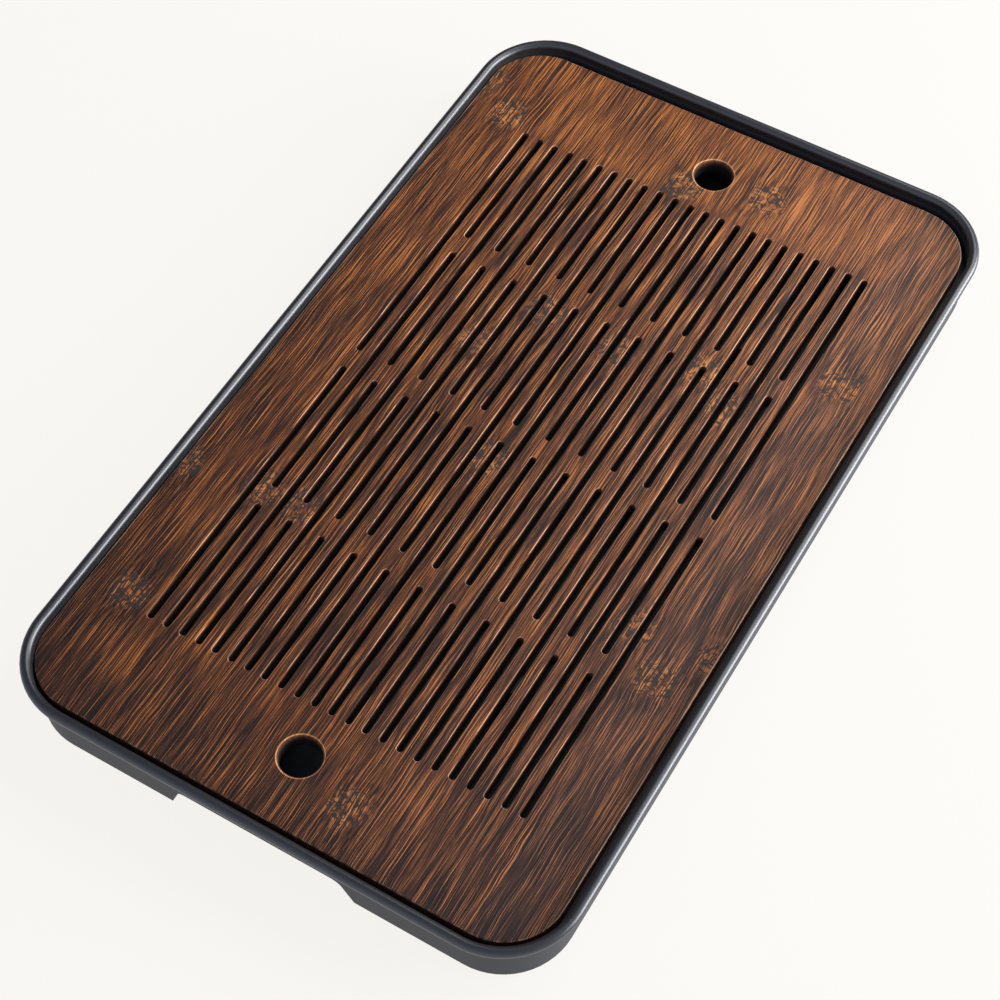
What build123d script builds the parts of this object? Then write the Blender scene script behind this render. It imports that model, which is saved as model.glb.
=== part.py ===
from build123d import *
import os

os.makedirs("parts", exist_ok=True)

# A tea tray: a slotted bamboo board that lies loose in a moulded plastic base.
# Millimetres, +Z up, +Y along the tray. The origin is on the table, under the tray's middle.

# The whole tray
tray_length = 422
tray_width = 255
tray_height = 31
corner_radius = 35  # outside of the rim, seen from above

# The rolled rim of the base, and the thin wall under it
bead_diameter = 4.6
wall = 1.8
bead_lip = 0.2  # how far the bead stands in front of the wall, on the inside
skirt_draft = 1.9  # how much further in the skirt stands at its foot than under the bead
pocket_draft = 0.5  # how much further in the board's pocket is at the ledge than at the bead

# The basin that holds the waste water
board_below_bead = 2.7  # board's top under the middle of the bead
ledge_width = 7.5
ledge_thickness = 1.8
basin_draft = 1  # how much further in the basin's wall stands at the floor than at the ledge
floor_thickness = 1.8
floor_fillet = 3

# The underside
skirt_clearance = 1  # table to the foot of the skirt
floor_clearance = 2  # table to the underside of the floor
rib_thickness = 1.6
rib_rows = 7  # across the tray
rib_row_pitch = 50
rib_lines = 3  # along the tray
rib_line_pitch = 78

# The grip recess in the middle of each short end
grip_width = 86  # at the foot of the skirt
grip_lean = 5.5  # how far each side leans in on its way up
grip_top_round = 5
grip_foot_round = 3
grip_depth = 21  # in from the outside of the rim

# The hollow posts that carry the middle of the board
post_top_diameter = 9
post_foot_diameter = 12
post_rows = 3
post_row_pitch = 100
post_columns = 2
post_column_pitch = 104

# The slotted board
board_end_gap = 3.1  # to the end walls of its pocket
board_side_gap = 1.6  # to the side walls of its pocket, if it lay in the middle
board_left_gap = 0.4  # it lies towards the left wall
board_corner_ease = 4.1  # how much smaller its corner radius is than the pocket's
board_thickness = 8
board_arris = 0.4
slot_pitch = 8
slot_side_margin = 32  # least distance of a slot's middle line from the board's side
slot_width = 3.2
slot_web = 10.2  # solid wood between two slots in line
slot_hole_web = 12.1  # solid wood between the slots and a finger hole
slot_arris = 0.25
finger_hole_diameter = 18
finger_hole_setback = 29.4  # hole's middle from the board's end
finger_hole_arris = 0.8

# The stick-on pads under the corners
pad_diameter = 16
pad_round = 0.5
pad_setback = 34  # pad's middle from the sides and ends of the tray
pad_seat_height = 0.5
pad_seat_clearance = 0.3
pad_seat_wall = 1.2

overrun = 5  # how far a cut runs past what it cuts

# Heights
bead_radius = bead_diameter / 2
bead_z = tray_height - bead_radius
board_top_z = bead_z - board_below_bead
ledge_z = board_top_z - board_thickness
ledge_under_z = ledge_z - ledge_thickness
floor_z = floor_clearance + floor_thickness

# Distances in from the middle line of the bead
pocket_top_in = bead_radius - bead_lip
pocket_in = pocket_top_in + pocket_draft
skirt_top_in = pocket_top_in - wall
skirt_foot_in = skirt_top_in + skirt_draft
basin_top_in = pocket_in + ledge_width
basin_foot_in = basin_top_in + basin_draft

# The board, from the pocket that it lies in
pocket_inset = bead_radius + pocket_in
board_length = tray_length - 2 * (pocket_inset + board_end_gap)
board_width = tray_width - 2 * (pocket_inset + board_side_gap)
board_corner_radius = corner_radius - pocket_inset - board_corner_ease
board_side_shift = board_left_gap - board_side_gap
finger_hole_pitch = board_length - 2 * finger_hole_setback

# The field of slots, an odd number of columns wide, ends short of the finger holes
slot_field_length = finger_hole_pitch - finger_hole_diameter - 2 * slot_hole_web
slot_columns = 2 * int((board_width / 2 - slot_side_margin) / slot_pitch) + 1


def outline(inset, z):
    """Rounded rectangle this far in from the middle line of the bead, at height z."""
    margin = bead_radius + inset
    with BuildSketch(Plane.XY.offset(z)) as plan:
        RectangleRounded(tray_width - 2 * margin, tray_length - 2 * margin, corner_radius - margin)
    return plan.sketch


def skirt_in(z):
    """How far in from the bead's middle line the drafted skirt stands at height z."""
    return skirt_top_in + skirt_draft * (bead_z - z) / (bead_z - skirt_clearance)


# The solid outside of the base, up to the middle of the bead
with BuildPart() as shell:
    loft([outline(skirt_foot_in, skirt_clearance), outline(skirt_top_in, bead_z)])

# The pocket that the board drops into
with BuildPart() as pocket:
    loft([outline(pocket_in, ledge_z), outline(pocket_top_in, bead_z)])

# The basin under the board, with a rounded floor edge
with BuildPart() as basin:
    loft([outline(basin_foot_in, floor_z), outline(basin_top_in, ledge_z)])
    fillet(basin.edges().group_by(Axis.Z)[0], floor_fillet)

# The hollow underside: inside the skirt, round the basin's wall and under its floor
with BuildPart() as underside:
    loft([
        outline(skirt_foot_in + wall, skirt_clearance),
        outline(skirt_in(ledge_under_z) + wall, ledge_under_z),
    ])
    loft([
        outline(basin_foot_in - wall, floor_clearance),
        outline(basin_top_in - wall, ledge_under_z),
    ], mode=Mode.SUBTRACT)

# The ribs that cross the hollow underside
with BuildPart() as ribs:
    with GridLocations(0, rib_row_pitch, 1, rib_rows):
        Box(tray_width, rib_thickness, ledge_z, align=(Align.CENTER, Align.CENTER, Align.MIN))
    with GridLocations(rib_line_pitch, 0, rib_lines, 1):
        Box(rib_thickness, tray_length, ledge_z, align=(Align.CENTER, Align.CENTER, Align.MIN))
    add(underside.part, mode=Mode.INTERSECT)

# The grip recess as fingers find it: its sides lean in, with an S-curve up from the foot
grip_foot = grip_width / 2
grip_top = grip_foot - grip_lean
grip_flare = grip_foot + grip_foot_round
with BuildPart() as grip_recess:
    with BuildSketch(Plane.XZ.offset(tray_length / 2 + overrun)) as grip_opening:
        with BuildLine():
            Polyline(
                (-grip_flare, skirt_clearance - overrun),
                (-grip_flare, skirt_clearance),
                (-grip_foot, skirt_clearance),
                (-grip_top, ledge_under_z),
                (grip_top, ledge_under_z),
                (grip_foot, skirt_clearance),
                (grip_flare, skirt_clearance),
                (grip_flare, skirt_clearance - overrun),
                close=True,
            )
        make_face()
        corners = grip_opening.vertices().group_by(Axis.Y)
        fillet(corners[2], grip_top_round)
        fillet(corners[1].sort_by(Axis.X)[1:3], grip_foot_round)
    extrude(amount=-(overrun + grip_depth))
    mirror(about=Plane.XZ)

# The walls that keep the water out of each grip recess
with BuildPart() as grip_housing:
    with BuildSketch(Plane.XZ.offset(tray_length / 2)) as grip_cover:
        with BuildLine():
            Polyline(
                (-grip_foot - wall, skirt_clearance),
                (-grip_top - wall, ledge_z),
                (grip_top + wall, ledge_z),
                (grip_foot + wall, skirt_clearance),
                close=True,
            )
        make_face()
        fillet(grip_cover.vertices().group_by(Axis.Y)[-1], grip_top_round + wall)
    extrude(amount=-(grip_depth + wall))
    mirror(about=Plane.XZ)
    add(shell.part, mode=Mode.INTERSECT)

# Where the pads sit
pad_x = tray_width / 2 - pad_setback
pad_y = tray_length / 2 - pad_setback
pad_places = {
    "pad_front_left": (-pad_x, -pad_y),
    "pad_front_right": (pad_x, -pad_y),
    "pad_rear_left": (-pad_x, pad_y),
    "pad_rear_right": (pad_x, pad_y),
}
pad_seat_radius = pad_diameter / 2 + pad_seat_clearance

# The moulded base
with BuildPart() as tray_base:
    add(shell.part)
    add(pocket.part, mode=Mode.SUBTRACT)
    add(basin.part, mode=Mode.SUBTRACT)
    add(underside.part, mode=Mode.SUBTRACT)
    add(ribs.part)
    add(grip_housing.part)
    # The posts stand on the floor, and are hollow from below
    with Locations(Plane.XY.offset(floor_clearance)):
        with GridLocations(post_column_pitch, post_row_pitch, post_columns, post_rows):
            Cone(
                post_foot_diameter / 2, post_top_diameter / 2, ledge_z - floor_clearance,
                align=(Align.CENTER, Align.CENTER, Align.MIN),
            )
    with Locations(Plane.XY.offset(skirt_clearance)):
        with GridLocations(post_column_pitch, post_row_pitch, post_columns, post_rows):
            Cone(
                post_foot_diameter / 2 - wall, post_top_diameter / 2 - wall,
                ledge_under_z - skirt_clearance,
                align=(Align.CENTER, Align.CENTER, Align.MIN), mode=Mode.SUBTRACT,
            )
    # Each pad sits in a low ring, clear of the ribs
    with BuildSketch(Plane.XY.offset(floor_clearance)):
        with Locations(*pad_places.values()):
            Circle(pad_seat_radius + pad_seat_wall)
    extrude(amount=-pad_seat_height)
    with BuildSketch(Plane.XY.offset(floor_clearance)):
        with Locations(*pad_places.values()):
            Circle(pad_seat_radius)
    extrude(amount=-floor_clearance, mode=Mode.SUBTRACT)
    add(grip_recess.part, mode=Mode.SUBTRACT)
    # The rolled rim
    rim_line = outline(0, bead_z).wire()
    with BuildSketch(Plane(rim_line @ 0, z_dir=rim_line % 0)):
        Circle(bead_radius)
    sweep(path=rim_line)
tray_base.part.label = "tray_base"
export_step(tray_base.part, "parts/tray_base.step")

# The slots of the board: columns of two long slots, and between them columns of one long slot
# with a short one at each end
long_slot = (slot_field_length - slot_web) / 2
short_slot = (slot_field_length - long_slot) / 2 - slot_web
long_slot_y = (long_slot + slot_web) / 2
short_slot_y = (slot_field_length - short_slot) / 2
column_x = [(column - (slot_columns - 1) / 2) * slot_pitch for column in range(slot_columns)]
long_places = [(x, y) for x in column_x[0::2] for y in (-long_slot_y, long_slot_y)]
long_places += [(x, 0) for x in column_x[1::2]]
short_places = [(x, y) for x in column_x[1::2] for y in (-short_slot_y, short_slot_y)]

# The bamboo board, one glued panel
board_plane = Plane((board_side_shift, 0, ledge_z))
with BuildPart() as top_board:
    with BuildSketch(board_plane):
        RectangleRounded(board_width, board_length, board_corner_radius)
    extrude(amount=board_thickness)
    chamfer(top_board.faces().filter_by(Axis.Z).edges(), board_arris)
    with BuildSketch(board_plane):
        with GridLocations(0, finger_hole_pitch, 1, 2):
            Circle(finger_hole_diameter / 2)
    extrude(amount=board_thickness, mode=Mode.SUBTRACT)
    chamfer(top_board.edges(Select.LAST).group_by(Axis.Z)[-1], finger_hole_arris)
    with BuildSketch(board_plane):
        with Locations(*long_places):
            SlotOverall(long_slot, slot_width, rotation=90)
        with Locations(*short_places):
            SlotOverall(short_slot, slot_width, rotation=90)
    extrude(amount=board_thickness, mode=Mode.SUBTRACT)
    chamfer(top_board.edges(Select.LAST).group_by(Axis.Z)[-1], slot_arris)
top_board.part.label = "top_board"
export_step(top_board.part, "parts/top_board.step")

# The rubber pads, stuck to the underside of the floor
for name, (x, y) in pad_places.items():
    with BuildPart() as pad:
        with Locations((x, y)):
            Cylinder(
                pad_diameter / 2, floor_clearance,
                align=(Align.CENTER, Align.CENTER, Align.MIN),
            )
        fillet(pad.edges().group_by(Axis.Z)[0], pad_round)
    pad.part.label = name
    export_step(pad.part, f"parts/{name}.step")
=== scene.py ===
import math

import bmesh
import bpy
from mathutils import Euler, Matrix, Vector

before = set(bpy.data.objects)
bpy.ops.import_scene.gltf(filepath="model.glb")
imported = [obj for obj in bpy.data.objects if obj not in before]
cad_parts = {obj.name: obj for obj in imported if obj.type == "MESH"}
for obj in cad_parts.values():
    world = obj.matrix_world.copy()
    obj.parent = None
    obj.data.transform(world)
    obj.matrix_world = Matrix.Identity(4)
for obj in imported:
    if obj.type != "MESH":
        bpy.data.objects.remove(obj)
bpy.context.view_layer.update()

scene = bpy.context.scene
scene.view_settings.view_transform = "Standard"


# The base: one injection moulding in charcoal ABS, with the rolled rim, the skirt and the basin for
# the waste water in one piece. The mould was polished for the rim, which draws a line of light, and
# spark-eroded below it, which leaves a dull even sheen.
def linear(hex_colour):
    """Linear colour with alpha from an sRGB hex value."""
    shares = [int(hex_colour[place:place + 2], 16) / 255 for place in (1, 3, 5)]
    return [s / 12.92 if s <= 0.04045 else ((s + 0.055) / 1.055) ** 2.4 for s in shares] + [1]


def add_node(tree, kind, inputs=None, **settings):
    """Adds a shader node with its settings. An input is a value, a socket or a node's first output."""
    made = tree.nodes.new(kind)
    for name, value in settings.items():
        setattr(made, name, value)
    used = [socket for socket in made.inputs if socket.enabled]
    by_name = {socket.name: socket for socket in reversed(used)}
    for key, value in (inputs or {}).items():
        socket = used[key] if isinstance(key, int) else by_name[key]
        if isinstance(value, bpy.types.Node):
            value = next(output for output in value.outputs if output.enabled)
        if isinstance(value, bpy.types.NodeSocket):
            tree.links.new(value, socket)
        else:
            socket.default_value = value
    return made


def new_material(name):
    """An empty material, its node tree, its Object coordinates in millimetres and its normals."""
    mm_per_metre = 1000
    made = bpy.data.materials.new(name)
    made.use_nodes = True
    made.node_tree.nodes.clear()
    places = add_node(made.node_tree, "ShaderNodeTexCoord")
    in_mm = add_node(made.node_tree, "ShaderNodeVectorMath",
                     {0: places.outputs["Object"], "Scale": mm_per_metre}, operation="SCALE")
    return made, made.node_tree, in_mm, places.outputs["Normal"]


def wear(node_name, material):
    """Gives a CAD node its finish."""
    node_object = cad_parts[node_name]
    node_object.data.materials.clear()
    node_object.data.materials.append(material)
    return node_object


# Widths and heights in a pattern are in millimetres, and the depth of a relief is in metres
cloud_width = 60
grain_width, grain_depth, grain_strength = 0.5, 0.00005, 0.1
polished_above, eroded_below = 26.5, 25.5
polished_roughness, eroded_roughness = 0.38, 0.72
abs_plastic, tree, in_mm, _ = new_material("charcoal_moulded_abs")
# The pigment is even, with faint clouds where the melt flowed
clouds = add_node(tree, "ShaderNodeTexNoise", {"Vector": in_mm, "Scale": 1 / cloud_width, "Detail": 2})
pigment = add_node(tree, "ShaderNodeMix",
                   {"Factor": clouds, "A": linear("#0e1014"), "B": linear("#13161b")}, data_type="RGBA")
# The polish ends at the height of the board's top
level = add_node(tree, "ShaderNodeSeparateXYZ", {"Vector": in_mm})
eroded = add_node(tree, "ShaderNodeMapRange",
                  {"Value": level.outputs["Z"], "From Min": polished_above, "From Max": eroded_below})
gloss = add_node(tree, "ShaderNodeMapRange",
                 {"Value": eroded, "To Min": polished_roughness, "To Max": eroded_roughness})
# The eroded grain is 0.1 mm fine, drawn here at 0.5 mm so that it shows
grain = add_node(tree, "ShaderNodeTexNoise", {"Vector": in_mm, "Scale": 1 / grain_width, "Detail": 1})
strength = add_node(tree, "ShaderNodeMath", {0: eroded, 1: grain_strength}, operation="MULTIPLY")
relief = add_node(tree, "ShaderNodeBump", {"Strength": strength, "Distance": grain_depth, "Height": grain})
# ABS has an IOR of 1.53, raised here to match the gloss of the real rim
shade = add_node(tree, "ShaderNodeBsdfPrincipled",
                 {"Base Color": pigment, "Roughness": gloss, "IOR": 1.75,
                  "Specular Tint": linear("#f6f8ff"), "Normal": relief})
add_node(tree, "ShaderNodeOutputMaterial", {"Surface": shade})
wear("tray_base", abs_plastic)


# The pads: four die-cut discs of black rubber, stuck into low rings under the floor. They are matt,
# with a fine mottle from the talc of the sheet that they are cut from.
mottle_width, mottle_depth, mottle_strength = 1.5, 0.00008, 0.3
rubber, tree, in_mm, _ = new_material("black_sheet_rubber")
mottle = add_node(tree, "ShaderNodeTexNoise", {"Vector": in_mm, "Scale": 1 / mottle_width, "Detail": 3})
blacks = add_node(tree, "ShaderNodeMix",
                  {"Factor": mottle, "A": linear("#151516"), "B": linear("#1f1f20")}, data_type="RGBA")
relief = add_node(tree, "ShaderNodeBump",
                  {"Strength": mottle_strength, "Distance": mottle_depth, "Height": mottle})
shade = add_node(tree, "ShaderNodeBsdfPrincipled",
                 {"Base Color": blacks, "Roughness": 0.82, "IOR": 1.52, "Normal": relief})
add_node(tree, "ShaderNodeOutputMaterial", {"Surface": shade})
for end in ("front", "rear"):
    for side in ("left", "right"):
        wear(f"pad_{end}_{side}", rubber)


# The board: strips of steam-carbonised bamboo, edge-glued into one panel, routed and oiled. The
# strips show long dark fibres in amber pith, and here and there the crackled joint of the culm.
strip_width = 18.64
glue_line_x = -0.64
first_strip = -7
# Strips with one joint on the board have their second joint this far away, off the board
no_joint = 400
# Each strip from the left: its joints' places along the tray in mm, its shade, and its greyness, which is
# painted sheen
strips = [
    (174, -81, 0.5, 0), (159, -146, 0.52, 0), (-77, no_joint, 0.57, 0), (-76, no_joint, 0.57, 0),
    (36, no_joint, 0.55, 0), (66, no_joint, 0.55, 0), (161, -16, 0.55, 0), (62, no_joint, 0.57, 0.1),
    (172, -183, 0.59, 0.2), (71, no_joint, 0.63, 0.3), (57, no_joint, 0.59, 0.3), (-56, no_joint, 0.58, 0.4),
    (94, -74, 0.54, 0.7), (-55, no_joint, 0.6, 0.6),
]
bamboo, tree, in_mm, face_normal = new_material("carbonised_bamboo")
place = add_node(tree, "ShaderNodeSeparateXYZ", {"Vector": in_mm})
across, along = place.outputs["X"], place.outputs["Y"]
lane = add_node(tree, "ShaderNodeMath", {0: across, 1: 1 / strip_width, 2: -glue_line_x / strip_width},
                operation="MULTIPLY_ADD")
strip = add_node(tree, "ShaderNodeMath", {0: lane}, operation="FLOOR")
chance = add_node(tree, "ShaderNodeTexWhiteNoise", {"W": strip}, noise_dimensions="1D")

# A ramp holds that table. Red and green are the places of the two joints, as shares of a long span,
# blue is the strip's shade and alpha its greyness, which is painted sheen
table_span = 1000
share = add_node(tree, "ShaderNodeMapRange", {
    "Value": strip, "From Min": first_strip - 0.5, "From Max": first_strip - 0.5 + len(strips)})
strip_table = add_node(tree, "ShaderNodeValToRGB", {"Fac": share})
strip_table.color_ramp.interpolation = "CONSTANT"
for number, (first_joint, second_joint, strip_shade, grey_sheen) in enumerate(strips):
    stops = strip_table.color_ramp.elements
    stop = stops[0] if number == 0 else stops.new(number / len(strips))
    stop.color = [0.5 + first_joint / table_span, 0.5 + second_joint / table_span, strip_shade, grey_sheen]
strip_table.color_ramp.elements.remove(strip_table.color_ramp.elements[-1])
from_table = add_node(tree, "ShaderNodeSeparateColor", {"Color": strip_table})

# How far each point lies from the nearest joint of its strip
joint_gaps = []
for channel in ("Red", "Green"):
    joint_y = add_node(tree, "ShaderNodeMath",
                       {0: from_table.outputs[channel], 1: table_span, 2: -table_span / 2},
                       operation="MULTIPLY_ADD")
    step = add_node(tree, "ShaderNodeMath", {0: along, 1: joint_y}, operation="SUBTRACT")
    joint_gaps.append(add_node(tree, "ShaderNodeMath", {0: step}, operation="ABSOLUTE"))
joint_gap = add_node(tree, "ShaderNodeMath", {0: joint_gaps[0], 1: joint_gaps[1]}, operation="MINIMUM")
swirl_reach, swirl_core = 22, 5
near_joint = add_node(tree, "ShaderNodeMapRange",
                      {"Value": joint_gap, "From Min": swirl_reach, "From Max": swirl_core},
                      interpolation_type="SMOOTHSTEP")

# A joint shows as a ragged patch about 18 mm wide and long, in the middle of its strip
patch_half, rag_width, rag_weight = 9, 3, 1.1
patch_end, patch_full = 1.7, 1.35
lane_place = add_node(tree, "ShaderNodeMath", {0: lane}, operation="FRACT")
off_middle = add_node(tree, "ShaderNodeMath", {0: lane_place, 1: 0.5}, operation="SUBTRACT")
sideways = add_node(tree, "ShaderNodeMath", {0: off_middle, 1: strip_width / patch_half},
                    operation="MULTIPLY")
lengthways = add_node(tree, "ShaderNodeMath", {0: joint_gap, 1: 1 / patch_half}, operation="MULTIPLY")
joint_place = add_node(tree, "ShaderNodeCombineXYZ", {"X": sideways, "Y": lengthways})
joint_reach = add_node(tree, "ShaderNodeVectorMath", {0: joint_place}, operation="LENGTH")
rags = add_node(tree, "ShaderNodeTexNoise", {"Vector": in_mm, "Scale": 1 / rag_width, "Detail": 2})
ragged = add_node(tree, "ShaderNodeMath", {0: rags, 1: rag_weight, 2: joint_reach.outputs["Value"]},
                  operation="MULTIPLY_ADD")
in_joint = add_node(tree, "ShaderNodeMapRange",
                    {"Value": ragged, "From Min": patch_end, "From Max": patch_full},
                    interpolation_type="SMOOTHSTEP")

# The fibres wander slowly between the joints and swirl beside them; each strip has its own run
wander_width, wander_length = 8, 30
straight_swing, joint_swing = 2.6, 4
run_apart = 900
noise_middle = 0.5
wander_place = add_node(tree, "ShaderNodeMapping",
                        {"Vector": in_mm, "Scale": (1 / wander_width, 1 / wander_length, 1)})
wander = add_node(tree, "ShaderNodeTexNoise", {"Vector": wander_place, "Scale": 1, "Detail": 2})
shift = add_node(tree, "ShaderNodeMath", {0: wander, 1: noise_middle}, operation="SUBTRACT")
swing = add_node(tree, "ShaderNodeMapRange",
                 {"Value": near_joint, "To Min": straight_swing, "To Max": joint_swing})
fibre_x = add_node(tree, "ShaderNodeMath", {0: shift, 1: swing, 2: across}, operation="MULTIPLY_ADD")
fibre_y = add_node(tree, "ShaderNodeMath", {0: chance, 1: run_apart, 2: along}, operation="MULTIPLY_ADD")
fibre_place = add_node(tree, "ShaderNodeCombineXYZ", {"X": fibre_x, "Y": fibre_y, "Z": strip})


def fibre_noise(width, length, detail):
    """Noise drawn out along the fibres, by its width and length in mm."""
    scaled = add_node(tree, "ShaderNodeMapping",
                      {"Vector": fibre_place, "Scale": (1 / width, 1 / length, 1)})
    return add_node(tree, "ShaderNodeTexNoise",
                    {"Vector": scaled, "Scale": 1, "Detail": detail, "Roughness": 0.6})


# The tone of the wood runs from 0, char, to 1, bare pith. It starts from the strip's own shade, and
# each layer has its width and length in mm, detail and weight: two soft bands, hairs and flecks
layers = (
    (4, 60, 2, 0.12),
    (14, 60, 2, 0.12),
    (0.42, 34, 1, 1.7),
    (0.5, 3, 0, 0.15),
)
tone = from_table.outputs["Blue"]
for width, length, detail, weight in layers:
    layer = fibre_noise(width, length, detail)
    centred = add_node(tree, "ShaderNodeMath", {0: layer, 1: noise_middle}, operation="SUBTRACT")
    tone = add_node(tree, "ShaderNodeMath", {0: centred, 1: weight, 2: tone}, operation="MULTIPLY_ADD")

# Dark vessel bundles are about half a millimetre wide and 45 mm long, and short beside a joint
bundles_from, bundles_full = 0.48, 0.57
long_bundles = fibre_noise(0.52, 45, 3)
short_bundles = fibre_noise(0.8, 10, 2)
bundles = add_node(tree, "ShaderNodeMix",
                   {"Factor": near_joint, "A": long_bundles.outputs[0], "B": short_bundles.outputs[0]})
dark_bundles = add_node(tree, "ShaderNodeMapRange",
                        {"Value": bundles, "From Min": bundles_from, "From Max": bundles_full},
                        interpolation_type="SMOOTHSTEP")

# The near end is darker than the far end, from the steam and from painted shade, and so is the wood beside a
# joint
# That painted shade stands for the lamps' light falling off towards the near end; the band along the near
# edge is darker still
palest_y, darkest_y = 280, -200
end_shade_from, board_end_y = -165, -203
far_bundle_tone, near_bundle_tone = -0.19, -0.28
steam_and_shade_tone, end_tone, joint_tone = -0.16, -0.07, -0.04
steamed_and_shaded = add_node(tree, "ShaderNodeMapRange", {"Value": along, "From Min": palest_y, "From Max": darkest_y})
bundle_tone = add_node(tree, "ShaderNodeMapRange",
                       {"Value": steamed_and_shaded, "To Min": far_bundle_tone, "To Max": near_bundle_tone})
near_end = add_node(tree, "ShaderNodeMapRange",
                    {"Value": along, "From Min": end_shade_from, "From Max": board_end_y})
for darkened, darkening in ((dark_bundles, bundle_tone), (steamed_and_shaded, steam_and_shade_tone),
                            (near_end, end_tone), (near_joint, joint_tone)):
    tone = add_node(tree, "ShaderNodeMath", {0: darkened, 1: darkening, 2: tone}, operation="MULTIPLY_ADD")

# The wood between the slots is darker, the most towards the far end
field_half_x, field_half_y, field_fade, between_slots_tone = 93, 158, 6, -0.1
from_middle = add_node(tree, "ShaderNodeVectorMath", {0: in_mm}, operation="ABSOLUTE")
past_field = add_node(tree, "ShaderNodeVectorMath", {0: from_middle, 1: (field_half_x, field_half_y, 0)},
                      operation="SUBTRACT")
past_field = add_node(tree, "ShaderNodeSeparateXYZ", {"Vector": past_field})
off_field = add_node(tree, "ShaderNodeMath", {0: past_field.outputs["X"], 1: past_field.outputs["Y"]},
                     operation="MAXIMUM")
in_field = add_node(tree, "ShaderNodeMapRange",
                    {"Value": off_field, "From Min": 0, "From Max": -field_fade})
towards_far_end = add_node(tree, "ShaderNodeMath", {0: 1, 1: steamed_and_shaded}, operation="SUBTRACT")
between_slots_darkening = add_node(tree, "ShaderNodeMath", {0: in_field, 1: towards_far_end}, operation="MULTIPLY")
tone = add_node(tree, "ShaderNodeMath", {0: between_slots_darkening, 1: between_slots_tone, 2: tone}, operation="MULTIPLY_ADD")

# Single threads of pith show bright where the sander has just reached them
threads_from, threads_full, thread_tone = 0.58, 0.68, 0.23
thread_noise = fibre_noise(0.45, 50, 0)
threads = add_node(tree, "ShaderNodeMapRange",
                   {"Value": thread_noise, "From Min": threads_from, "From Max": threads_full},
                   interpolation_type="SMOOTHSTEP")
tone = add_node(tree, "ShaderNodeMath", {0: threads, 1: thread_tone, 2: tone}, operation="MULTIPLY_ADD")


def wood_colours(wood_tone, colours):
    """The wood's colour by its tone, from pairs of a tone and an sRGB hex value."""
    made = add_node(tree, "ShaderNodeValToRGB", {"Fac": wood_tone})
    stops = made.color_ramp.elements
    stops.remove(stops[1])
    stops[0].position = colours[0][0]
    for number, (tone_there, hex_colour) in enumerate(colours):
        stop = stops[0] if number == 0 else stops.new(tone_there)
        stop.color = linear(hex_colour)
    return made


amber_wood = wood_colours(tone, [
    (0.15, "#1e1310"), (0.32, "#3b2217"), (0.48, "#65391d"), (0.62, "#8b4f25"), (0.8, "#b97336")])
# The greyer colours, mixed in by each strip's greyness, are painted sheen that grows towards the right
grey_sheen_wood = wood_colours(tone, [
    (0.15, "#211a1a"), (0.32, "#392925"), (0.48, "#573c32"), (0.62, "#82563c"), (0.8, "#b8764c")])
wood = add_node(tree, "ShaderNodeMix",
                {"Factor": strip_table.outputs["Alpha"], "A": amber_wood, "B": grey_sheen_wood}, data_type="RGBA")

# In a joint the fibres knot into swirls about 1.5 mm wide, with lines of char between them
knot_width, knot_turns = 6, 42
line_from, line_end, line_tone, swirl_tone = -1, -0.3, -0.34, 0.06
knot_noise = add_node(tree, "ShaderNodeTexNoise", {"Vector": in_mm, "Scale": 1 / knot_width, "Detail": 1})
turned = add_node(tree, "ShaderNodeMath", {0: knot_noise, 1: knot_turns}, operation="MULTIPLY")
swirls = add_node(tree, "ShaderNodeMath", {0: turned}, operation="SINE")
swirl_lines = add_node(tree, "ShaderNodeMapRange",
                       {"Value": swirls, "From Min": line_from, "From Max": line_end,
                        "To Min": line_tone, "To Max": swirl_tone})
knot_tone = add_node(tree, "ShaderNodeMath", {0: swirl_lines, 1: tone}, operation="ADD")
# Blotches lie over them, some of bare pith and some grey with char
blotch_width, blotch_weight = 3, 0.6
blotches = add_node(tree, "ShaderNodeTexNoise", {"Vector": in_mm, "Scale": 1 / blotch_width, "Detail": 0})
blotch = add_node(tree, "ShaderNodeMath", {0: blotches, 1: noise_middle}, operation="SUBTRACT")
knot_tone = add_node(tree, "ShaderNodeMath", {0: blotch, 1: blotch_weight, 2: knot_tone},
                     operation="MULTIPLY_ADD")
knots = wood_colours(knot_tone, [
    (0.12, "#302a28"), (0.28, "#35241d"), (0.45, "#6b3f24"), (0.6, "#9a5c30"), (0.8, "#c08146")])
timber = add_node(tree, "ShaderNodeMix", {"Factor": in_joint, "A": wood, "B": knots}, data_type="RGBA")

# The router and the sander cut through the char: arrises are tan, at 45 degrees, and walls are upright
arris_end, arris_full = 0.12, 0.06
wall_from, wall_full = 0.5, 0.3
facing = add_node(tree, "ShaderNodeSeparateXYZ", {"Vector": face_normal})
up = add_node(tree, "ShaderNodeMath", {0: facing.outputs["Z"]}, operation="ABSOLUTE")
off_arris = add_node(tree, "ShaderNodeMath", {0: up, 1: math.sqrt(0.5)}, operation="SUBTRACT")
arris_gap = add_node(tree, "ShaderNodeMath", {0: off_arris}, operation="ABSOLUTE")
on_arris = add_node(tree, "ShaderNodeMapRange",
                    {"Value": arris_gap, "From Min": arris_end, "From Max": arris_full})
on_wall = add_node(tree, "ShaderNodeMapRange", {"Value": up, "From Min": wall_from, "From Max": wall_full})
# On the slots the tan comes and goes along the arris
worn_from, worn_full = 0.42, 0.53
worn_noise = fibre_noise(3, 25, 1)
worn = add_node(tree, "ShaderNodeMapRange",
                {"Value": worn_noise, "From Min": worn_from, "From Max": worn_full})
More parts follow.
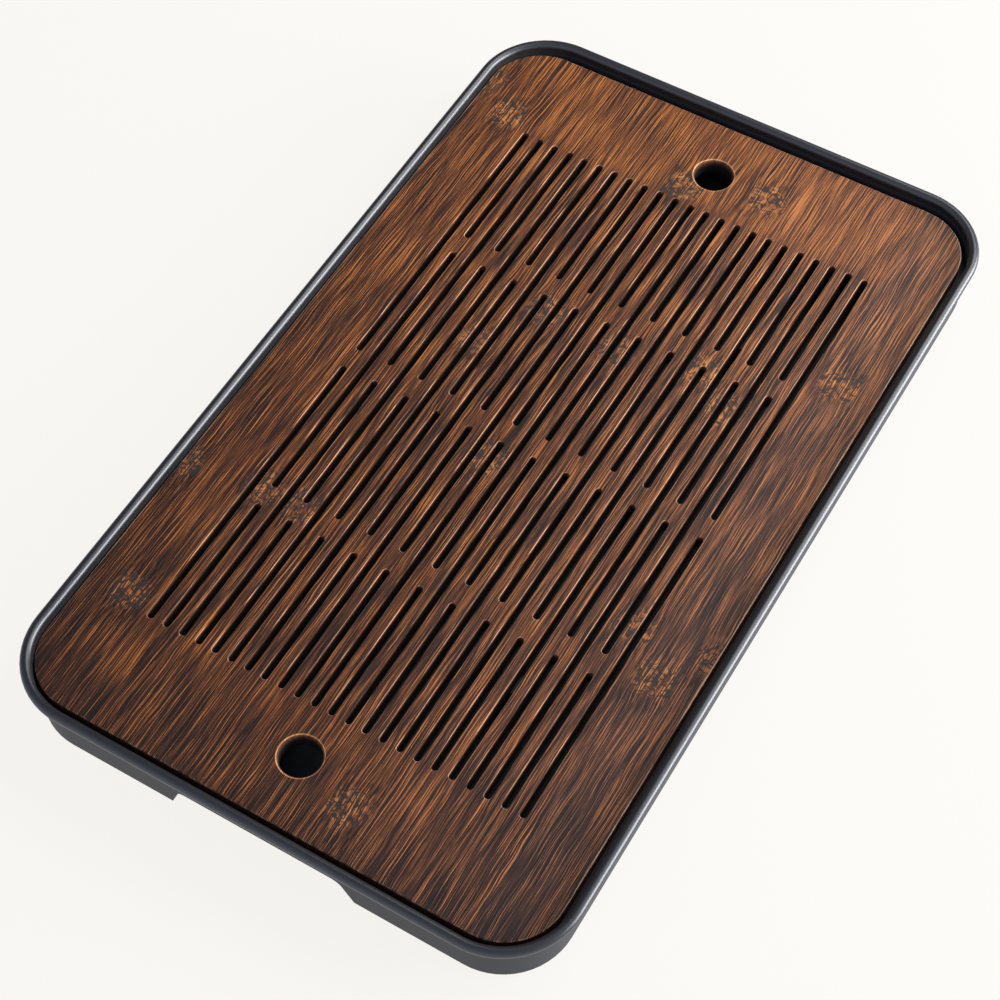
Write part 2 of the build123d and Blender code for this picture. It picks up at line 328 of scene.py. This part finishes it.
# The board's outer edge, corners included, lies outside this box, and the slots and holes inside it
inner_half_x, inner_half_y = 105, 187
past_inner = add_node(tree, "ShaderNodeVectorMath", {0: from_middle, 1: (inner_half_x, inner_half_y, 0)},
                      operation="SUBTRACT")
past_inner = add_node(tree, "ShaderNodeSeparateXYZ", {"Vector": past_inner})
off_inner = add_node(tree, "ShaderNodeMath", {0: past_inner.outputs["X"], 1: past_inner.outputs["Y"]},
                     operation="MAXIMUM")
at_edge = add_node(tree, "ShaderNodeMath", {0: off_inner, 1: 0}, operation="GREATER_THAN")
# The outer edge's arris is sanded tan and painted pale as a highlight all along, less at the near end, where
# it stays brown
brown_edge_y, full_edge_y, least_edge_highlight = -200, -150, 0.3
off_near_end = add_node(tree, "ShaderNodeMapRange",
                        {"Value": along, "From Min": brown_edge_y, "From Max": full_edge_y,
                         "To Min": least_edge_highlight})
edge_highlight_mask = add_node(tree, "ShaderNodeMath", {0: at_edge, 1: off_near_end}, operation="MULTIPLY")
worn = add_node(tree, "ShaderNodeMath", {0: worn, 1: edge_highlight_mask}, operation="MAXIMUM")
on_arris = add_node(tree, "ShaderNodeMath", {0: on_arris, 1: worn}, operation="MULTIPLY")
# Fingers have rubbed a ring round their two holes the lightest
hole_x, hole_y = -1.2, 173.6
ring_radius, ring_half_width, ring_blur = 9.7, 0.24, 0.1
hole_side = add_node(tree, "ShaderNodeMath", {0: along}, operation="ABSOLUTE")
hole_place = add_node(tree, "ShaderNodeCombineXYZ", {"X": across, "Y": hole_side})
from_hole = add_node(tree, "ShaderNodeVectorMath", {0: hole_place, 1: (hole_x, hole_y, 0)},
                     operation="DISTANCE")
off_ring = add_node(tree, "ShaderNodeMath", {0: from_hole.outputs["Value"], 1: ring_radius},
                    operation="SUBTRACT")
ring_gap = add_node(tree, "ShaderNodeMath", {0: off_ring}, operation="ABSOLUTE")
on_ring = add_node(tree, "ShaderNodeMapRange",
                   {"Value": ring_gap, "From Min": ring_half_width + ring_blur,
                    "From Max": ring_half_width - ring_blur})
in_hole = add_node(tree, "ShaderNodeMath", {0: off_ring, 1: -ring_half_width}, operation="LESS_THAN")
on_wall = add_node(tree, "ShaderNodeMath", {0: on_wall, 1: in_hole}, operation="MAXIMUM")
# The tans of the slot arrises and the outer edge are lightened past the sanded wood as painted highlight,
# the outer edge's almost to white
slot_tan_and_highlight = wood_colours(tone, [(0.2, "#6c4e42"), (0.6, "#bc8e6e")])
rubbed_tan = wood_colours(tone, [(0.2, "#a86c42"), (0.6, "#d69f6c")])
edge_tan_and_highlight = wood_colours(tone, [(0.2, "#8a6a58"), (0.55, "#e6c6a6")])
tan_and_highlight = add_node(tree, "ShaderNodeMix", {"Factor": edge_highlight_mask, "A": slot_tan_and_highlight, "B": edge_tan_and_highlight}, data_type="RGBA")
arris = add_node(tree, "ShaderNodeMix", {"Factor": on_arris, "A": timber, "B": tan_and_highlight}, data_type="RGBA")
cut = add_node(tree, "ShaderNodeMix", {"Factor": on_ring, "A": arris, "B": rubbed_tan}, data_type="RGBA")
# The routed walls are browned just under the arris, and painted shade darkens them to near black further
# down, in the depth of the slots and holes. On the outer edge that painted shade is kept only at the near
# end, in the gap beside the rim
browned_above, darkest_below = 25.7, 22.5
depth = add_node(tree, "ShaderNodeMapRange",
                 {"Value": place.outputs["Z"], "From Min": browned_above, "From Max": darkest_below})
off_edge_highlight = add_node(tree, "ShaderNodeMath", {0: 1, 1: edge_highlight_mask}, operation="SUBTRACT")
deep_wall_shade = add_node(tree, "ShaderNodeMath", {0: depth, 1: off_edge_highlight}, operation="MULTIPLY")
browned = wood_colours(tone, [(0.3, "#4c2f1f"), (0.7, "#78492b")])
walls = add_node(tree, "ShaderNodeMix",
                 {"Factor": deep_wall_shade, "A": browned, "B": linear("#160f0b")}, data_type="RGBA")
coloured = add_node(tree, "ShaderNodeMix", {"Factor": on_wall, "A": cut, "B": walls}, data_type="RGBA")

# Oil has closed the sanded face, the dark fibres more than the pith; the routed walls are dry
dark_tone, pith_tone = 0.2, 0.8
dark_roughness, pith_roughness, dry_roughness = 0.5, 0.6, 0.9
face_from, face_end = 0.9, 0.75
fibre_relief, fibre_depth = 0.4, 0.00012
oiled = add_node(tree, "ShaderNodeMapRange",
                 {"Value": tone, "From Min": dark_tone, "From Max": pith_tone,
                  "To Min": dark_roughness, "To Max": pith_roughness})
off_face = add_node(tree, "ShaderNodeMapRange", {"Value": up, "From Min": face_from, "From Max": face_end})
gloss = add_node(tree, "ShaderNodeMix", {"Factor": off_face, "A": oiled.outputs[0], "B": dry_roughness})
relief = add_node(tree, "ShaderNodeBump",
                  {"Strength": fibre_relief, "Distance": fibre_depth, "Height": tone})
# Oiled wood has an IOR near 1.5, lowered here to match the dull sheen of the real board
shade = add_node(tree, "ShaderNodeBsdfPrincipled",
                 {"Base Color": coloured, "Roughness": gloss, "IOR": 1.36, "Normal": relief})
add_node(tree, "ShaderNodeOutputMaterial", {"Surface": shade})
wear("top_board", bamboo)


# The table: a plain white surface, wide enough for every view. The eye and the gloss see it nearly
# even and a little warm, with a tenth of its lit surface, which keeps the tray's shadow.
floor_half = 12
evenness = 0.9
floor_mesh = bpy.data.meshes.new("floor")
shape = bmesh.new()
bmesh.ops.create_grid(shape, x_segments=1, y_segments=1, size=floor_half)
shape.to_mesh(floor_mesh)
shape.free()
floor = bpy.data.objects.new("floor", floor_mesh)
scene.collection.objects.link(floor)
white_table, tree, _, _ = new_material("white_table")
matt = add_node(tree, "ShaderNodeBsdfDiffuse", {"Color": linear("#dfe2ea")})
even = add_node(tree, "ShaderNodeEmission", {"Color": linear("#fdfaf5"), "Strength": 1})
rays = add_node(tree, "ShaderNodeLightPath")
seen = add_node(tree, "ShaderNodeMath",
                {0: rays.outputs["Is Camera Ray"], 1: rays.outputs["Is Glossy Ray"]}, operation="MAXIMUM")
seen = add_node(tree, "ShaderNodeMath",
                {0: seen, 1: rays.outputs["Is Transmission Ray"]}, operation="MAXIMUM")
amount = add_node(tree, "ShaderNodeMath", {0: seen, 1: evenness}, operation="MULTIPLY")
mixed = add_node(tree, "ShaderNodeMixShader", {0: amount, 1: matt, 2: even})
add_node(tree, "ShaderNodeOutputMaterial", {"Surface": mixed})
# The table is no lamp, so light isn't sampled from it
white_table.cycles.emission_sampling = "NONE"
floor_mesh.materials.append(white_table)


# The light: a pale bluish room, brightest on the near side, a softbox behind the far end, and a low
# wide one on the right that draws the bright line along the rim.
near_strength, far_strength = 0.91, -0.09
wall_strength, wall_top, wall_full_below = 0.3, 0.55, 0.2
scene.world = bpy.data.worlds.new("pale_room")
scene.world.use_nodes = True
room = scene.world.node_tree
direction = add_node(room, "ShaderNodeTexCoord")
direction = add_node(room, "ShaderNodeSeparateXYZ", {"Vector": direction.outputs["Generated"]})
room_light = add_node(room, "ShaderNodeMapRange",
                      {"Value": direction.outputs["Y"], "From Min": -1, "From Max": 1,
                       "To Min": near_strength, "To Max": far_strength})
# The walls beyond the two ends are lit up to about 30 degrees
towards_ends = add_node(room, "ShaderNodeMath", {0: direction.outputs["Y"], 1: direction.outputs["Y"]},
                        operation="MULTIPLY")
low = add_node(room, "ShaderNodeMapRange",
               {"Value": direction.outputs["Z"], "From Min": wall_top, "From Max": wall_full_below})
end_walls = add_node(room, "ShaderNodeMath", {0: towards_ends, 1: low}, operation="MULTIPLY")
room_light = add_node(room, "ShaderNodeMath", {0: end_walls, 1: wall_strength, 2: room_light},
                      operation="MULTIPLY_ADD")
# No part of the room has less than no light
room_light = add_node(room, "ShaderNodeMath", {0: room_light, 1: 0}, operation="MAXIMUM")
room.links.new(room_light.outputs["Value"], room.nodes["Background"].inputs["Strength"])
room.nodes["Background"].inputs["Color"].default_value = linear("#e2eaff")
# The camera sees the room as pale as the table, and only the light and the gloss see its shades
backdrop = add_node(room, "ShaderNodeBackground", {"Color": linear("#f4f2ef"), "Strength": 1})
rays = add_node(room, "ShaderNodeLightPath")
seen_room = add_node(room, "ShaderNodeMixShader",
                     {0: rays.outputs["Is Camera Ray"], 1: room.nodes["Background"], 2: backdrop})
room.links.new(seen_room.outputs["Shader"], room.nodes["World Output"].inputs["Surface"])


def add_softbox(name, place, width, height, watts, hex_colour):
    """An area lamp at the place, turned towards the middle of the tray."""
    lamp = bpy.data.lights.new(name, "AREA")
    lamp.shape = "RECTANGLE"
    lamp.size = width
    lamp.size_y = height
    lamp.energy = watts
    lamp.color = linear(hex_colour)[:3]
    made = bpy.data.objects.new(name, lamp)
    made.location = place
    made.rotation_euler = (-Vector(place)).to_track_quat("-Z", "Y").to_euler()
    scene.collection.objects.link(made)


add_softbox("far_softbox", place=(0.35, 0.85, 1.05), width=1.1, height=0.7, watts=12, hex_colour="#fffaf4")
add_softbox("right_softbox", place=(1.15, 0.62, 0.33), width=1.2, height=0.64, watts=41,
            hex_colour="#fdfdff")


# The camera: it stands at the near right and looks down at the tray, as in the photograph. Its lens
# is a short telephoto, so that the long sides draw together only a little.
camera_place = (0.27529, -0.46726, 0.80993)
tilt, roll, turn = 33.19, 0.70, 30.71
lens = bpy.data.cameras.new("camera")
lens.sensor_width = 36
lens.lens = 80.24
camera = bpy.data.objects.new("camera", lens)
camera.location = camera_place
camera.rotation_euler = Euler([math.radians(angle) for angle in (tilt, roll, turn)])
scene.collection.objects.link(camera)
scene.camera = camera
